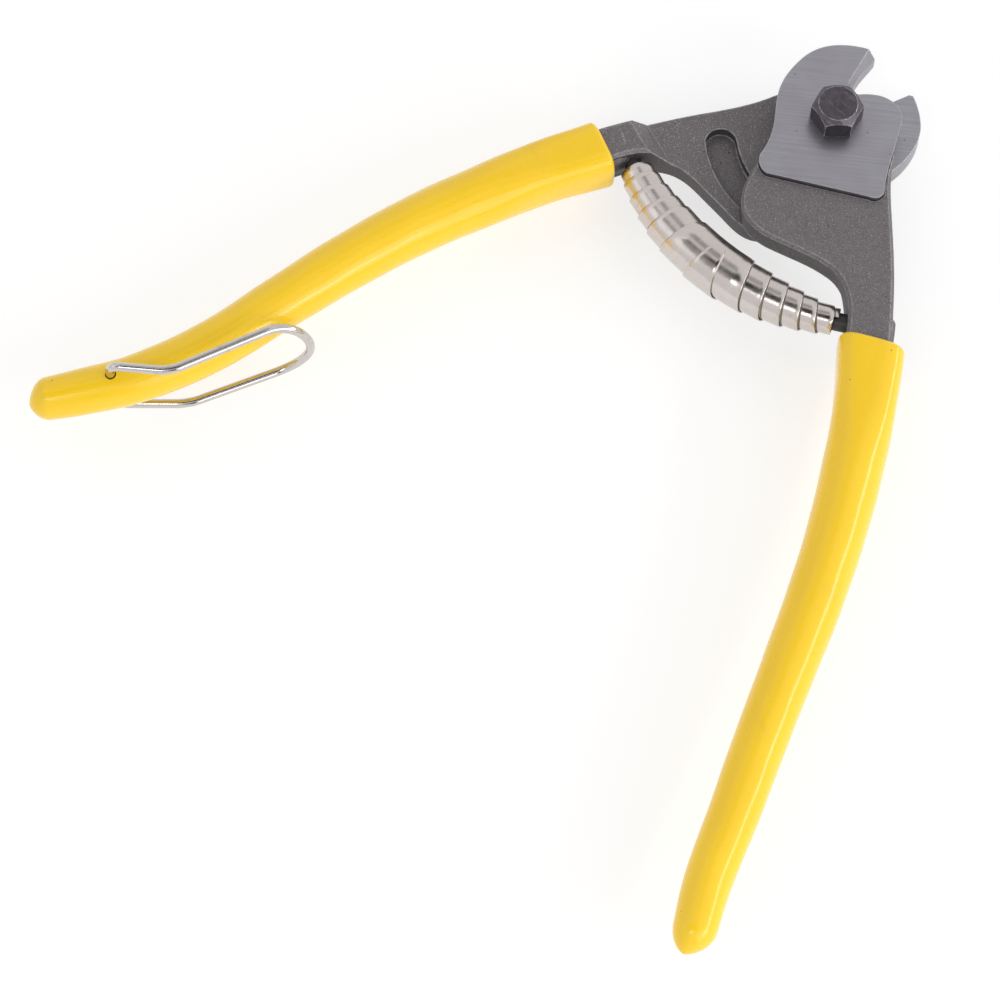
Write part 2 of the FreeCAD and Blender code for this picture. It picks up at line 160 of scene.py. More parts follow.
def tidy_mesh(obj, angle):
    """Outward normals, smooth faces, and sharp edges above the angle."""
    bm = bmesh.new()
    bm.from_mesh(obj.data)
    bmesh.ops.remove_doubles(bm, verts=bm.verts, dist=1e-7)
    bmesh.ops.recalc_face_normals(bm, faces=bm.faces)
    bm.to_mesh(obj.data)
    bm.free()
    obj.data.shade_smooth()
    obj.data.set_sharp_from_angle(angle=math.radians(angle))


def closed_rings(rings):
    """Faces of a skin over rings of equal count, with a cap at each end."""
    count = len(rings[0])
    verts = [v for ring in rings for v in ring]
    faces = []
    for k in range(len(rings) - 1):
        for i in range(count):
            j = (i + 1) % count
            faces.append((k * count + i, k * count + j, (k + 1) * count + j, (k + 1) * count + i))
    faces.append(tuple(range(count)))
    last = (len(rings) - 1) * count
    faces.append(tuple(last + i for i in reversed(range(count))))
    return verts, faces


def solid_copy(source):
    """A welded copy of a mesh object, to cut with."""
    mesh = source.data.copy()
    copy = bpy.data.objects.new("cutter", mesh)
    bpy.context.scene.collection.objects.link(copy)
    bm = bmesh.new()
    bm.from_mesh(mesh)
    bmesh.ops.remove_doubles(bm, verts=bm.verts, dist=1e-6)
    bm.to_mesh(mesh)
    bm.free()
    return copy


def cut(obj, cutter):
    """Takes the cutter's solid out of the object, then deletes the cutter."""
    modifier = obj.modifiers.new("cut", "BOOLEAN")
    modifier.operation = "DIFFERENCE"
    modifier.solver = "EXACT"
    modifier.object = cutter
    bpy.context.view_layer.update()
    graph = bpy.context.evaluated_depsgraph_get()
    result = bpy.data.meshes.new_from_object(obj.evaluated_get(graph))
    obj.modifiers.clear()
    obj.data = result
    bpy.data.objects.remove(cutter)


# ---------------------------------------------------------------- dipped grips

GRIP_SIDES = 80
GRIP_STEPS = 96
RIM_STEPS = 8
TIP_STEPS = 24
RIM_ROUND = 1.3          # rounding of the rim
RIM_LENGTH = 0.8         # length of that rounding along the grip, as a share of its depth
RIM_SQUARE = 1.9         # how much squarer than round the section is at the rim
RIM_REACH = 30           # the squarer section has eased to round this far from the rim
TILT_REACH = 14          # the tilted rim has eased to square this far from the rim
TIP_DOME = 3.6           # the dome starts this far before the last station
TIP_POWER = 0.68         # 0.5 would be half an ellipse, more is more pointed
TIP_DRIFT = 0.75         # the dome's end leans this far towards the other handle
TIP_END = 0.12           # radius of the last ring
RIM_FACE = (0.25, 0.5, 0.68)  # rings across the rim's face, as shares of its radius


def fade(along, rim, reach):
    """1 at the rim, easing to 0 over the reach."""
    t = min(max((along - rim) / reach, 0.0), 1.0)
    return 1 - t * t * (3 - 2 * t)


def grip_stations(rim, end):
    """Pairs of (distance along, radius taken off) from the rim face to the tip dome."""
    stations = []
    for k in range(RIM_STEPS + 1):
        a = math.radians(90 * k / RIM_STEPS)
        along = rim + RIM_ROUND * (1 - math.cos(a)) * RIM_LENGTH
        stations.append((along, RIM_ROUND * (1 - math.sin(a))))
    start = rim + RIM_ROUND * RIM_LENGTH
    for k in range(1, GRIP_STEPS):
        stations.append((start + (end - TIP_DOME - start) * k / GRIP_STEPS, 0.0))
    return stations


def make_grip(name, direction, bow, table, outward, rim, tilt, trim, tip, lever):
    """A dipped grip along a bowed centre line, with the lever's tang cut out of it.

    Outward is the side the bow goes to, trim the share taken off at the squarer rim, and tip how far
    the dome goes past the last station.
    """
    end = bow[-1][0]
    lean = -math.tan(math.radians(tilt))
    rings = []

    def ring(along, radius, wobble=1.0, drift=0.0):
        centre = grip_centre(direction, bow, outward, along)
        ahead = grip_centre(direction, bow, outward, along + 0.5)
        behind = grip_centre(direction, bow, outward, along - 0.5)
        tangent = (ahead - behind).normalized()
        side = Vector((-tangent.y, tangent.x, 0))
        centre = centre + side * drift * MM
        square = 2.0 + RIM_SQUARE * fade(along, rim, RIM_REACH)
        skew = lean * fade(along, rim + 1, TILT_REACH)
        points = []
        for i in range(GRIP_SIDES):
            a = 2 * math.pi * i / GRIP_SIDES
            x = math.cos(a)
            y = math.sin(a)
            shape = (abs(x) ** square + abs(y) ** square) ** (-1 / square)
            swell = 1 + wobble * (0.006 * math.sin(along * 0.21 + 2.1 * x)
                                  + 0.004 * math.sin(along * 0.47 + 3 * a + outward))
            reach = radius * shape * swell * (1 - trim * fade(along, rim, RIM_REACH))
            offset = side * x + Vector((0, 0, y)) + tangent * skew * x
            points.append(centre + offset * reach * MM)
        return points

    first = table_value(table, rim)
    for share in RIM_FACE:
        rings.append(ring(rim, first * share, 0))
    for along, taken in grip_stations(rim, end):
        rings.append(ring(along, table_value(table, along) - taken))
    shoulder = end - TIP_DOME
    shoulder_r = table_value(table, shoulder)
    for k in range(1, TIP_STEPS + 1):
        t = math.sin(math.radians(90 * k / TIP_STEPS))
        radius = max(shoulder_r * (1 - t * t) ** TIP_POWER, TIP_END)
        drift = -TIP_DRIFT * t * t * outward
        rings.append(ring(shoulder + (TIP_DOME + tip) * t, radius, 1 - t, drift))
    verts, faces = closed_rings(rings)
    grip = new_object(name, verts, faces)
    tidy_mesh(grip, 60)
    cut(grip, solid_copy(frame["nodes"][lever]))
    return grip


def drill(obj, centre, radius):
    """Round hole right through, along Z."""
    sides = 40
    depth = 20
    rings = []
    for z in (-depth, depth):
        ring = []
        for i in range(sides):
            a = 2 * math.pi * i / sides
            ring.append(Vector((centre.x + radius * MM * math.cos(a),
                                centre.y + radius * MM * math.sin(a), SHEAR_Z + z * MM)))
        rings.append(ring)
    verts, faces = closed_rings(rings)
    cutter = new_object("cutter", verts, faces)
    tidy_mesh(cutter, 40)
    cut(obj, cutter)


# ---------------------------------------------------------------- volute spring

STEPS_PER_TURN = 96
PROFILE_STEPS = 6
EDGE_ROUND = 0.09        # rounding of the strip's edges
NO_SEAM = 2.0            # a distance too far from any seam to be shaded


def edge_at(edges, turn):
    """Distance of a strip edge from the middle, at a number of turns wound from the outer tongue."""
    start = TONGUE_START
    xs = [start, start + 0.01, start + 0.03, start + 0.07, 0.25, 0.6, 1]
    ys = [0.5, 1.1, 1.6, 2.0, 3.3, 5.6, edges[0]]
    for k in range(1, len(edges)):
        xs.append(k + 1)
        ys.append(edges[k])
    xs.append(len(edges) + 1)
    ys.append(edges[-1])
    return float(np.interp(turn, xs, ys))


def radius_at(radii, turn):
    """Outer radius of the strip at a number of turns."""
    return float(np.interp(turn, range(len(radii) + 1), radii + [radii[-1] - STRIP]))


def arc_frame(distance):
    """Point, tangent and outward direction on the spring arc, from millimetres along it."""
    angle = 270 + ARC_LEAN + math.degrees(distance / ARC_R)
    out = polar(angle)
    tangent = polar(angle + 90)
    centre = Vector((ARC_CENTRE[0], ARC_CENTRE[1], 0)) + out * ARC_R
    return centre, tangent, out


def strip_point(distance, radius, turn, anchor):
    """A point of the wound strip. A turn is straight about its anchor, or follows the arc."""
    if anchor is None:
        centre, tangent, out = arc_frame(distance)
    else:
        centre, tangent, out = arc_frame(anchor)
        centre = centre + tangent * (distance - anchor)
    a = 2 * math.pi * turn
    point = centre + out * radius * math.sin(a)
    return Vector((point.x * MM, point.y * MM, SHEAR_Z + radius * math.cos(a) * MM))


def strip_profile(low, high, outer, cone_low, cone_high):
    """Closed section of the strip, as (distance, radius), with rolled edges."""
    soft = min(EDGE_ROUND, (high - low) * 0.2)
    section = []
    for k in range(PROFILE_STEPS + 1):
        t = k / PROFILE_STEPS
        distance = low + soft + (high - low - 2 * soft) * t
        section.append((distance, outer + cone_low * (1 - t) + cone_high * t))
    section.append((high, outer + cone_high - soft))
    section.append((high, outer + cone_high - STRIP + soft))
    for k in range(PROFILE_STEPS + 1):
        t = 1 - k / PROFILE_STEPS
        distance = low + soft + (high - low - 2 * soft) * t
        section.append((distance, outer - STRIP + cone_low * (1 - t) + cone_high * t))
    section.append((low, outer + cone_low - STRIP + soft))
    section.append((low, outer + cone_low - soft))
    return section


def seam_distance(edges, turn, distance):
    """How far a point of the strip lies beyond the rim of the turn outside it."""
    if turn < 1 + TONGUE_START:
        return NO_SEAM
    return abs(distance) - edge_at(edges, turn - 1)


def make_turn(name, first, last, edge_pair, anchor, edges, radii, cones=(0.0, 0.0)):
    """One piece of wound strip, from one number of turns to another.

    Its texture coordinates are the turn and the distance beyond the rim of the turn outside it.
    """
    steps = max(int((last - first) * STEPS_PER_TURN), 8)
    rings = []
    coords = []
    for k in range(steps + 1):
        turn = first + (last - first) * k / steps
        low, high = edge_pair(turn)
        section = strip_profile(low, high, radius_at(radii, turn), cones[0], cones[1])
        rings.append([strip_point(d, r, turn, anchor) for d, r in section])
        tuck = 0.0 if low + high > 0 else REAR_TUCK
        coords += [(turn, seam_distance(edges, turn, d) + tuck) for d, r in section]
    verts, faces = closed_rings(rings)
    obj = new_object(name, verts, faces)
    layer = obj.data.uv_layers.new(name="strip")
    for loop in obj.data.loops:
        turn, distance = coords[loop.vertex_index]
        layer.data[loop.index].uv = (turn, distance)
    tidy_mesh(obj, 50)
    return obj


def follow(obj, share):
    """A piece whose share of the way from the front lever to the rear lever is at either end is
    attached to that lever; any other piece only has its transform baked.
    """
    if share <= 0.001 or share >= 0.999:
        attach(obj, "front_lever" if share < 0.5 else "rear_lever")
        return
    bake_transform(obj)


def sleeve_edges(turn):
    """The middle turn's edges, one on each arm."""
    return -edge_at(REAR_EDGES, turn), edge_at(FRONT_EDGES, turn)


def arm_edges(edges, side, width):
    """The two edges of a turn on one arm, as a function of the turn."""
    def edge_pair(turn):
        rim = edge_at(edges, turn)
        return (rim - width, rim) if side > 0 else (-rim, width - rim)
    return edge_pair


def front_end_edges(turn):
    """The last coil's edges keep their place, so the end is cut square."""
    return FRONT_EDGES[-1] - END_BEHIND, FRONT_EDGES[-1] + END_PAST


def make_arm(label, side, edges, radii, cones):
    """The turns of one arm, each with its share of the rear lever's motion."""
    turns = []
    for n in range(2, len(edges) + 1):
        rim = edges[n - 1]
        width = TURN_WIDTH if n < 4 else LAST_WIDTH
        visible = (rim + edges[n - 2]) / 2
        name = "spring_" + label + "_turn_" + str(n - 1)
        piece = make_turn(name, n - 0.5, n + 0.5, arm_edges(edges, side, width), side * visible,
                          edges, radii, cones)
        turns.append((piece, 0.5 * (1 - side * rim / edges[-1])))
    return turns


def make_spring():
    """A middle turn wound from the outer tongue, and two arms of opposite hand that slide into it."""
    middle = make_turn("spring_middle_turn", TONGUE_START, MIDDLE_END, sleeve_edges, None,
                       FRONT_EDGES, FRONT_COILS)
    pieces = [(middle, 0.5)]
    pieces += make_arm("front", 1, FRONT_EDGES, FRONT_COILS, FRONT_CONE)
    pieces += make_arm("rear", -1, REAR_EDGES, REAR_COILS, REAR_CONE)
    end_coil = make_turn("spring_front_end", END_COIL[0], END_COIL[1], front_end_edges,
                         FRONT_EDGES[-1], FRONT_EDGES, FRONT_COILS)
    pieces.append((end_coil, 0.0))
    return pieces


# ---------------------------------------------------------------- materials

MIX_A = 6                # a Mix node's colour sockets, by number as their names are shared
MIX_B = 7
MIX_OUT = 2


class Nodes:
    """Short names for building a node tree. Lengths in its textures are millimetres."""

    def __init__(self, tree):
        self.tree = tree

    def put(self, socket, value):
        """Links an output to the socket, or sets its value."""
        if isinstance(value, bpy.types.NodeSocket):
            self.tree.links.new(value, socket)
        elif isinstance(value, (tuple, list)) and len(value) == 3 and socket.type == "RGBA":
            socket.default_value = (*value, 1)
        else:
            socket.default_value = value

    def place(self, scale=(1, 1, 1), turn=0.0, uv=False):
        """Texture position in millimetres, turned about Z and then stretched."""
        source = self.tree.nodes.new("ShaderNodeTexCoord")
        turned = self.tree.nodes.new("ShaderNodeMapping")
        turned.inputs["Rotation"].default_value = (0, 0, math.radians(turn))
        unit = 1 if uv else 1000
        turned.inputs["Scale"].default_value = (unit, unit, unit)
        stretched = self.tree.nodes.new("ShaderNodeMapping")
        stretched.inputs["Scale"].default_value = scale
        self.tree.links.new(source.outputs["UV" if uv else "Object"], turned.inputs["Vector"])
        self.tree.links.new(turned.outputs[0], stretched.inputs["Vector"])
        return stretched.outputs[0]

    def noise(self, place, scale, detail=2.0, rough=0.5, distortion=0.0):
        node = self.tree.nodes.new("ShaderNodeTexNoise")
        self.put(node.inputs["Vector"], place)
        node.inputs["Scale"].default_value = scale
        node.inputs["Detail"].default_value = detail
        node.inputs["Roughness"].default_value = rough
        node.inputs["Distortion"].default_value = distortion
        return node.outputs["Fac"]

    def cells(self, place, scale):
        """Distance to the nearest of a set of scattered points."""
        node = self.tree.nodes.new("ShaderNodeTexVoronoi")
        self.put(node.inputs["Vector"], place)
        node.inputs["Scale"].default_value = scale
        return node.outputs["Distance"]

    def span(self, value, low, high, out_low=0.0, out_high=1.0):
        """Smooth step of a value between two limits."""
        node = self.tree.nodes.new("ShaderNodeMapRange")
        node.interpolation_type = "SMOOTHSTEP"
        self.put(node.inputs["Value"], value)
        node.inputs["From Min"].default_value = low
        node.inputs["From Max"].default_value = high
        node.inputs["To Min"].default_value = out_low
        node.inputs["To Max"].default_value = out_high
        return node.outputs["Result"]

    def calc(self, operation, a, b=0.0):
        node = self.tree.nodes.new("ShaderNodeMath")
        node.operation = operation
        self.put(node.inputs[0], a)
        self.put(node.inputs[1], b)
        return node.outputs[0]

    def mix(self, factor, a, b):
        node = self.tree.nodes.new("ShaderNodeMix")
        node.data_type = "RGBA"
        self.put(node.inputs["Factor"], factor)
        self.put(node.inputs[MIX_A], a)
        self.put(node.inputs[MIX_B], b)
        return node.outputs[MIX_OUT]

    def dot(self, a, b):
        node = self.tree.nodes.new("ShaderNodeVectorMath")
        node.operation = "DOT_PRODUCT"
        self.put(node.inputs[0], a)
        self.put(node.inputs[1], b)
        return node.outputs["Value"]

    def split(self, place, axis):
        """One coordinate of a position."""
        node = self.tree.nodes.new("ShaderNodeSeparateXYZ")
        self.tree.links.new(place, node.inputs[0])
        return node.outputs[axis]

    def upright(self, low, high):
        """0 on faces square to the pivot axis, 1 on the side walls."""
        geometry = self.tree.nodes.new("ShaderNodeNewGeometry")
        return self.span(self.calc("ABSOLUTE", self.split(geometry.outputs["Normal"], "Z")), high, low)

    def rounded(self, radius):
        """Normal with edges rounded to a radius in millimetres."""
        node = self.tree.nodes.new("ShaderNodeBevel")
        node.samples = 6
        node.inputs["Radius"].default_value = radius * MM
        return node.outputs[0]

    def edge_mask(self, radius, low, high):
        """Near 1 within a radius of an edge, 0 on flat ground."""
        geometry = self.tree.nodes.new("ShaderNodeNewGeometry")
        match = self.dot(self.rounded(radius), geometry.outputs["Normal"])
        return self.span(self.calc("SUBTRACT", 1.0, match), low, high)

    def bump(self, height, distance, normal=None, strength=1.0):
        """Bump of a height from 0 to 1, over a distance in millimetres."""
        node = self.tree.nodes.new("ShaderNodeBump")
        node.inputs["Strength"].default_value = strength
        node.inputs["Distance"].default_value = distance * MM
        self.put(node.inputs["Height"], height)
        if normal is not None:
            self.tree.links.new(normal, node.inputs["Normal"])
        return node.outputs[0]


class Graph(Nodes):
    """The node tree of a new material with one Principled shader."""

    SOCKETS = {"colour": "Base Color", "metal": "Metallic", "rough": "Roughness",
               "normal": "Normal", "coat": "Coat Weight", "coat_rough": "Coat Roughness",
               "specular": "Specular IOR Level", "subsurface": "Subsurface Weight",
               "glow": "Emission Color", "glow_level": "Emission Strength"}

    def __init__(self, name):
        self.material = bpy.data.materials.new(name)
        self.material.use_nodes = True
        super().__init__(self.material.node_tree)
        self.tree.nodes.clear()
        output = self.tree.nodes.new("ShaderNodeOutputMaterial")
        self.bsdf = self.tree.nodes.new("ShaderNodeBsdfPrincipled")
        self.tree.links.new(self.bsdf.outputs[0], output.inputs[0])

    def shader(self, **values):
        for key, value in values.items():
            self.put(self.bsdf.inputs[self.SOCKETS[key]], value)


def lever_steel():
    g = Graph("lever_steel")
    place = g.place()
    grain = g.noise(place, 2.6, 3, 0.65)
    patches = g.noise(place, 0.12, 3, 0.55)
    speck = g.span(g.noise(place, 4.2, 1, 0.5), 0.60, 0.74)
    pits = g.span(g.cells(place, 0.42), 0.10, 0.04)
    mottle = g.span(g.noise(place, 1.1, 3, 0.6), 0.36, 0.60)
    # Worn edges, and painted highlight: the pale edge colour also stands in for highlights along the
    # lever's edges.
    edge = g.edge_mask(0.60, 0.008, 0.10)
    wear = g.calc("MULTIPLY", edge, g.span(g.noise(place, 0.8, 4, 0.65), 0.36, 0.60, 0.22, 1.0))
    colour = g.mix(grain, (0.080, 0.073, 0.076), (0.275, 0.253, 0.263))
    colour = g.mix(g.calc("MULTIPLY", mottle, 0.30), colour, (0.110, 0.101, 0.106))
    colour = g.mix(g.span(patches, 0.35, 0.7, 0.0, 0.30), colour, (0.190, 0.170, 0.172))
    colour = g.mix(g.calc("MULTIPLY", speck, 0.70), colour, (0.56, 0.54, 0.55))
    colour = g.mix(g.calc("MULTIPLY", pits, 0.7), colour, (0.03, 0.027, 0.028))
    # Painted shade: the side walls are darkened in colour.
    colour = g.mix(g.calc("MULTIPLY", g.upright(0.25, 0.55), 0.55), colour, (0.050, 0.046, 0.047))
    # Pale worn edges, which also paint the highlights along the lever's edges.
    colour = g.mix(g.calc("MULTIPLY", wear, 0.70), colour, (0.62, 0.60, 0.61))
    height = g.calc("ADD", grain, g.calc("MULTIPLY", speck, 0.6))
    height = g.calc("SUBTRACT", height, g.calc("MULTIPLY", pits, 1.5))
    rough = g.calc("SUBTRACT", g.span(grain, 0.2, 0.8, 0.62, 0.50), g.calc("MULTIPLY", wear, 0.15))
    g.shader(colour=colour, metal=0.55, rough=rough, normal=g.bump(height, 0.08, g.rounded(0.3)))
    return g.material


def blade_steel():
    g = Graph("blade_steel")
    place = g.place()
    lines = g.noise(g.place((0.035, 3.4, 3.4), -33), 1.0, 4, 0.62)
    fine = g.noise(g.place((0.10, 9.0, 9.0), -33), 1.0, 2, 0.6)
    clouds = g.noise(place, 0.16, 2, 0.5)
    scratch = g.noise(g.place((0.09, 2.6, 2.6), -58), 1.0, 2, 0.5, 0.3)
    nicks = g.span(scratch, 0.70, 0.78)
    spots = g.span(g.cells(place, 0.30), 0.085, 0.045)
    edge = g.edge_mask(0.35, 0.008, 0.10)
    wear = g.calc("MULTIPLY", edge, g.span(g.noise(place, 1.1, 3), 0.25, 0.6, 0.4, 1.0))
    colour = g.mix(lines, (0.225, 0.217, 0.242), (0.580, 0.565, 0.622))
    colour = g.mix(g.span(fine, 0.3, 0.75, 0.0, 0.35), colour, (0.49, 0.478, 0.522))
    colour = g.mix(g.span(clouds, 0.3, 0.7, 0.0, 0.30), colour, (0.33, 0.32, 0.345))
    colour = g.mix(g.calc("MULTIPLY", nicks, 0.40), colour, (0.78, 0.77, 0.80))
    # Painted shade: the blade's side walls are darkened in colour.
    colour = g.mix(g.calc("MULTIPLY", g.upright(0.55, 0.80), 0.30), colour, (0.13, 0.125, 0.135))
    colour = g.mix(g.calc("MULTIPLY", spots, 0.5), colour, (0.10, 0.09, 0.09))
    colour = g.mix(g.calc("MULTIPLY", wear, 0.7), colour, (0.68, 0.66, 0.66))
    height = g.calc("ADD", lines, g.calc("MULTIPLY", fine, 0.5))
    rough = g.span(lines, 0.2, 0.8, 0.40, 0.30)
    g.shader(colour=colour, metal=1.0, rough=rough, normal=g.bump(height, 0.012, g.rounded(0.15)))
    return g.material


def black_oxide():
    g = Graph("black_oxide")
    place = g.place()
    mottle = g.noise(place, 0.55, 4, 0.6, 0.4)
    grain = g.noise(place, 3.5, 2, 0.6)
    smear = g.span(g.noise(g.place((0.5, 1.6, 1)), 0.8, 4, 0.6), 0.52, 0.72)
    rim = g.edge_mask(0.42, 0.015, 0.10)
    wear = g.calc("MULTIPLY", rim, g.span(g.noise(place, 1.3, 3, 0.6), 0.34, 0.56))
    colour = g.mix(mottle, (0.045, 0.040, 0.048), (0.150, 0.134, 0.154))
    colour = g.mix(g.calc("MULTIPLY", smear, 0.3), colour, (0.26, 0.24, 0.26))
    # Painted shade: the side facets and walls are darkened in colour.
    colour = g.mix(g.calc("MULTIPLY", g.upright(0.3, 0.6), 0.5), colour, (0.018, 0.016, 0.018))
    colour = g.mix(g.calc("MULTIPLY", wear, 0.90), colour, (0.74, 0.72, 0.72))
    height = g.calc("ADD", g.calc("MULTIPLY", mottle, 1.5), g.calc("MULTIPLY", grain, 0.4))
    rough = g.calc("SUBTRACT", g.span(mottle, 0.3, 0.7, 0.34, 0.48), g.calc("MULTIPLY", wear, 0.12))
    g.shader(colour=colour, metal=0.85, rough=rough, normal=g.bump(height, 0.06, g.rounded(0.25)))
    return g.material


def pin_steel():
    g = Graph("pin_steel")
    place = g.place((1, 1, 6))
    lines = g.noise(place, 2.0, 3, 0.6)
    wear = g.edge_mask(0.2, 0.02, 0.2)
    colour = g.mix(lines, (0.050, 0.046, 0.047), (0.105, 0.098, 0.100))
    colour = g.mix(g.calc("MULTIPLY", wear, 0.5), colour, (0.32, 0.31, 0.31))
    g.shader(colour=colour, metal=0.8, rough=g.span(lines, 0.2, 0.8, 0.42, 0.55),
             normal=g.bump(lines, 0.01, g.rounded(0.15)))
    return g.material


def nylon():
    g = Graph("nylon")
    place = g.place()
    grain = g.noise(place, 1.4, 3, 0.6)
    colour = g.mix(grain, (0.56, 0.56, 0.53), (0.68, 0.68, 0.65))
    colour = g.mix(g.calc("MULTIPLY", g.edge_mask(0.3, 0.02, 0.2), 0.4), colour, (0.75, 0.75, 0.72))
    g.shader(colour=colour, rough=g.span(grain, 0.2, 0.8, 0.5, 0.38), subsurface=0.08,
             normal=g.bump(grain, 0.03, g.rounded(0.2)))
    return g.material


def spring_nickel():
    g = Graph("spring_nickel")
    hair = g.noise(g.place((1.2, 16, 1), uv=True), 1.0, 3, 0.6)
    beyond = g.split(g.place(uv=True), "Y")
    # Painted shadow: a dark line where each turn runs in under the rim of the turn outside it.
    seam_shadow = g.calc("MULTIPLY", g.span(beyond, -0.4, 0.0), g.span(beyond, 0.30, 0.12))
    soft = g.noise(g.place(), 0.5, 3, 0.55)
    stain = g.span(g.noise(g.place(), 0.9, 4, 0.6), 0.55, 0.78)
    # Painted highlight along the strip's rolled edges.
    rim = g.edge_mask(0.12, 0.02, 0.3)
    colour = g.mix(hair, (0.545, 0.495, 0.470), (0.720, 0.665, 0.640))
    colour = g.mix(g.calc("MULTIPLY", stain, 0.35), colour, (0.44, 0.38, 0.34))
    # Painted shadow at the seams.
    colour = g.mix(g.calc("MULTIPLY", seam_shadow, 0.75), colour, (0.060, 0.050, 0.048))
    colour = g.mix(g.calc("MULTIPLY", rim, 0.7), colour, (0.84, 0.81, 0.79))
    rough = g.calc("ADD", g.span(soft, 0.3, 0.7, 0.16, 0.26), g.calc("MULTIPLY", stain, 0.08))
    rough = g.calc("ADD", rough, g.calc("MULTIPLY", seam_shadow, 0.3))
    height = g.calc("ADD", g.calc("MULTIPLY", hair, 0.5), soft)
    g.shader(colour=colour, metal=1.0, rough=rough, normal=g.bump(height, 0.012))
    return g.material


def bail_nickel():
    g = Graph("bail_nickel")
    place = g.place()
    drawn = g.noise(place, 3.0, 3, 0.6)
    dull = g.span(g.noise(place, 0.35, 3, 0.6), 0.5, 0.75)
    colour = g.mix(drawn, (0.55, 0.52, 0.505), (0.68, 0.65, 0.63))
    colour = g.mix(g.calc("MULTIPLY", dull, 0.35), colour, (0.40, 0.37, 0.35))
    rough = g.calc("ADD", g.span(drawn, 0.3, 0.7, 0.06, 0.12), g.calc("MULTIPLY", dull, 0.12))
    g.shader(colour=colour, metal=1.0, rough=rough, normal=g.bump(drawn, 0.010))
    return g.material


def grip_vinyl():
    g = Graph("grip_vinyl")
    place = g.place()
    cloud = g.noise(place, 0.045, 3, 0.55)
    skin = g.noise(place, 0.55, 3, 0.5)
    pebble = g.noise(place, 5.0, 2, 0.6)
    smudge = g.span(g.noise(g.place((0.5, 1, 1), 30), 0.14, 4, 0.62, 0.5), 0.60, 0.76)
    specks = g.span(g.cells(place, 0.16), 0.036, 0.018)
    colour = g.mix(cloud, (0.890, 0.560, 0.012), (0.950, 0.625, 0.020))
    colour = g.mix(g.calc("MULTIPLY", smudge, 0.22), colour, (0.66, 0.43, 0.045))
    colour = g.mix(g.calc("MULTIPLY", specks, 0.7), colour, (0.10, 0.07, 0.02))
    rough = g.calc("ADD", g.span(skin, 0.3, 0.7, 0.24, 0.33), g.calc("MULTIPLY", smudge, 0.1))
    height = g.calc("ADD", skin, g.calc("MULTIPLY", pebble, 0.06))
    g.shader(colour=colour, rough=rough, specular=0.15, coat=0.75, coat_rough=0.17,
             normal=g.bump(height, 0.04, strength=0.6))
    return g.material


SLOTS = {
    "lever_steel": (lever_steel, ["lever_front", "lever_rear"]),
    "blade_steel": (blade_steel, ["blade_front", "blade_rear"]),
    "black_oxide": (black_oxide, ["pivot_bolt", "pivot_nut"]),
    "pin_steel": (pin_steel, ["guide_pin", "spring_peg_front", "spring_peg_rear"]),
    "nylon": (nylon, ["nut_lock_ring"]),
    "spring_nickel": (spring_nickel, ["volute_spring"]),
    "bail_nickel": (bail_nickel, ["latch_bail"]),
    "grip_vinyl": (grip_vinyl, ["grip_front", "grip_rear"]),
}
materials = {}
for slot, (maker, nodes) in SLOTS.items():
    materials[slot] = maker()
    for node in nodes:
        data = frame["nodes"][node].data
        data.materials.clear()
        data.materials.append(materials[slot])


def finish_piece(obj, slot, *replaced):
    """The piece's material, and the CAD nodes it stands for."""
    obj.data.materials.clear()
    obj.data.materials.append(materials[slot])
    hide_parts(*replaced)


# ---------------------------------------------------------------- the pieces

front_grip = make_grip("front_grip_vinyl", FRONT_DIR, FRONT_BOW, FRONT_RADII, outward=1,
                       rim=FRONT_RIM, tilt=FRONT_TILT, trim=-0.01, tip=2.2, lever="lever_front")
tidy_mesh(front_grip, 40)
finish_piece(front_grip, "grip_vinyl", "grip_front")
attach(front_grip, "front_lever")

rear_grip = make_grip("rear_grip_vinyl", REAR_DIR, REAR_BOW, REAR_RADII, outward=-1,
                      rim=REAR_RIM, tilt=REAR_TILT, trim=0.14, tip=0.4, lever="lever_rear")
drill(rear_grip, HINGE, HINGE_HOLE)
tidy_mesh(rear_grip, 40)
finish_piece(rear_grip, "grip_vinyl", "grip_rear")
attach(rear_grip, "rear_lever")

for piece, share in make_spring():
    finish_piece(piece, "spring_nickel", "volute_spring")
    follow(piece, share)


# ---------------------------------------------------------------- floor, light and camera

def make_floor():
    """A pale sheet under the object that also glows a little."""
    half = 3
    corners = [(-half, -half, 0), (half, -half, 0), (half, half, 0), (-half, half, 0)]
    floor = new_object("floor", corners, [(0, 1, 2, 3)])
    g = Graph("floor_paper")
    tone = g.noise(g.place(), 0.004, 2, 0.5)
    paper = g.mix(tone, (0.37, 0.37, 0.37), (0.39, 0.39, 0.39))
    g.shader(colour=paper, rough=0.9, specular=0.1, glow=(1, 1, 1), glow_level=0.66)
    floor.data.materials.append(g.material)
    floor.location.z = cad_low.z


def area_light(name, offset, size, power):
    """A rectangular light at an offset from the middle of the object, turned to face it.

    Offset and size are in metres, power in watts.
    """
    data = bpy.data.lights.new(name, "AREA")
    data.shape = "RECTANGLE"
    data.size = size[0]
    data.size_y = size[1]
    data.energy = power
    light = bpy.data.objects.new(name, data)
    light.location = middle + offset
    light.rotation_euler = (middle - light.location).to_track_quat("-Z", "Y").to_euler()
    bpy.context.scene.collection.objects.link(light)


STUDIO_LEVEL = 0.86      # strength of the surroundings, off the cards
CARDS = (                # level of each dark card, then its (direction, low, high, softness) limits
    (0.45, [((-0.25, 0.27, 0.93), 0.990, 1.010, 0.020)]),
    (0.10, [((0.86, -0.20, 0.45), 0.940, 1.060, 0.110)]),
    (0.03, [((-0.587, 0.700, 0.407), 0.0, 0.42, 0.07), ((0.766, 0.643, 0), -0.60, 0.16, 0.14),
            ((0.261, -0.312, 0.913), 0.2, 1.0, 0.2)]),
)


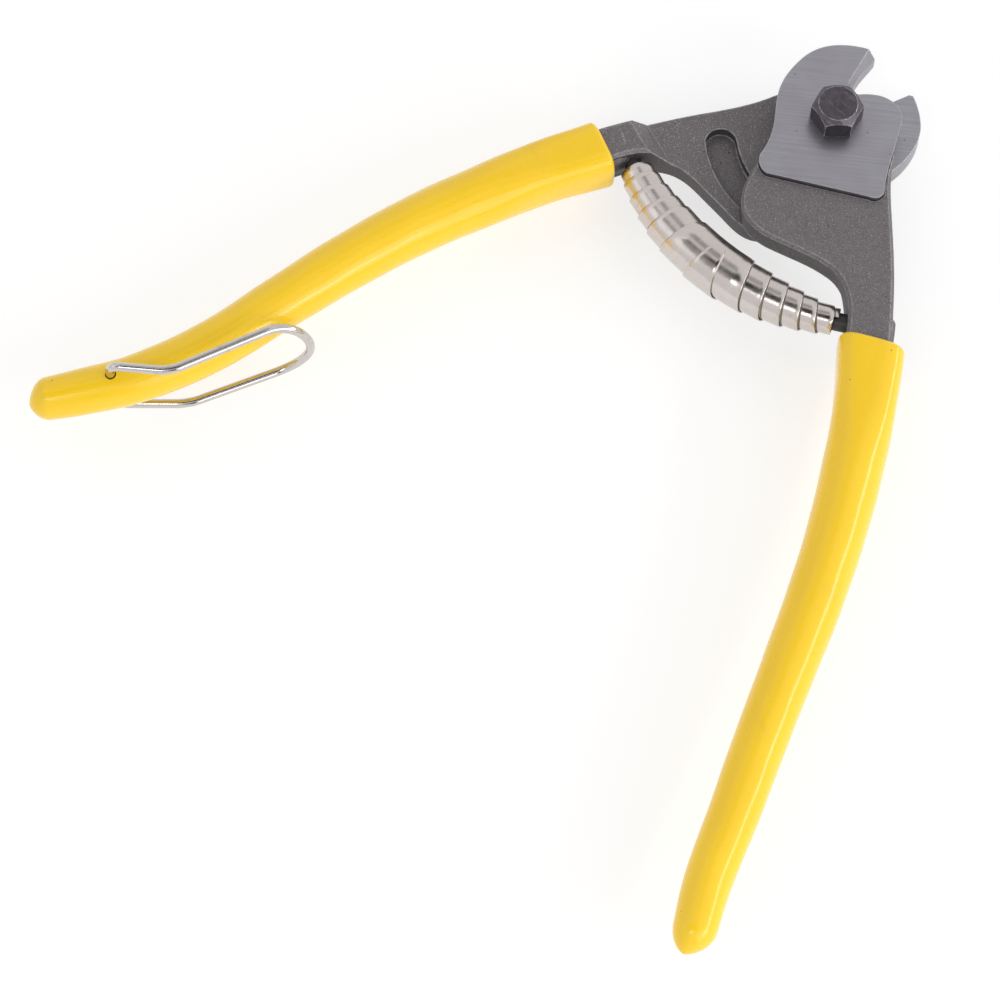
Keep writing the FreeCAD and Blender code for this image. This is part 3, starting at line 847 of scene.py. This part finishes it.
def card_cover(nodes, place, limits):
    """1 on a soft-edged card and 0 off it. A limit is a range of cosines to a direction."""
    cover = 1.0
    for direction, low, high, soft in limits:
        half = (high - low) / 2
        towards = nodes.dot(place, Vector(direction).normalized())
        offset = nodes.calc("ABSOLUTE", nodes.calc("SUBTRACT", towards, (low + high) / 2))
        cover = nodes.calc("MULTIPLY", cover, nodes.span(offset, half + soft, half))
    return cover


def make_world():
    """Pale studio all round, with dark cards that the polished parts mirror."""
    world = bpy.data.worlds.new("studio")
    bpy.context.scene.world = world
    world.use_nodes = True
    nodes = Nodes(world.node_tree)
    background = nodes.tree.nodes["Background"]
    place = nodes.tree.nodes.new("ShaderNodeTexCoord").outputs["Generated"]
    level = STUDIO_LEVEL
    for dark, limits in CARDS:
        shade = nodes.calc("MULTIPLY", card_cover(nodes, place, limits), 1 - dark)
        level = nodes.calc("MULTIPLY", level, nodes.calc("SUBTRACT", 1.0, shade))
    nodes.put(background.inputs["Strength"], level)
    nodes.put(background.inputs["Color"], (1, 1, 1))


AZIMUTH = 40             # the view, in degrees
ELEVATION = 66
DISTANCE = 0.700         # from the pivot, in metres
SHIFT_RIGHT = -0.0690    # the camera's place beside and below the pivot's line of sight
SHIFT_UP = -0.0761
SENSOR = 36              # width of the sensor and focal length, in millimetres
LENS = 121.7


def make_camera():
    """The camera, and its right, up and back directions."""
    azimuth = math.radians(AZIMUTH)
    elevation = math.radians(ELEVATION)
    right = Vector((math.cos(azimuth), math.sin(azimuth), 0))
    up = Vector((-math.sin(azimuth) * math.sin(elevation),
                 math.cos(azimuth) * math.sin(elevation), math.cos(elevation)))
    back = right.cross(up)
    data = bpy.data.cameras.new("camera")
    data.sensor_width = SENSOR
    data.lens = LENS
    camera = bpy.data.objects.new("camera", data)
    pivot = Vector((0, 0, SHEAR_Z))
    camera.location = pivot + right * SHIFT_RIGHT + up * SHIFT_UP + back * DISTANCE
    camera.rotation_euler = back.to_track_quat("Z", "Y").to_euler()
    bpy.context.scene.collection.objects.link(camera)
    bpy.context.scene.camera = camera
    return right, up, back


make_floor()
make_world()
right, up, back = make_camera()
middle = (cad_low + cad_high) / 2
area_light("key", back * 0.90 + right * 0.75 - up * 0.60, (1.0, 1.0), 6.3)
area_light("overhead", back * 1.02 - right * 0.28 - up * 0.14, (0.34, 0.20), 0.75)
area_light("strip", back * 0.55 + right * 1.0, (1.5, 0.16), 4.4)
area_light("fill", back * 0.8 - right * 0.9 + up * 0.3, (0.8, 1.0), 0.8)
bpy.context.scene.view_settings.view_transform = "Standard"
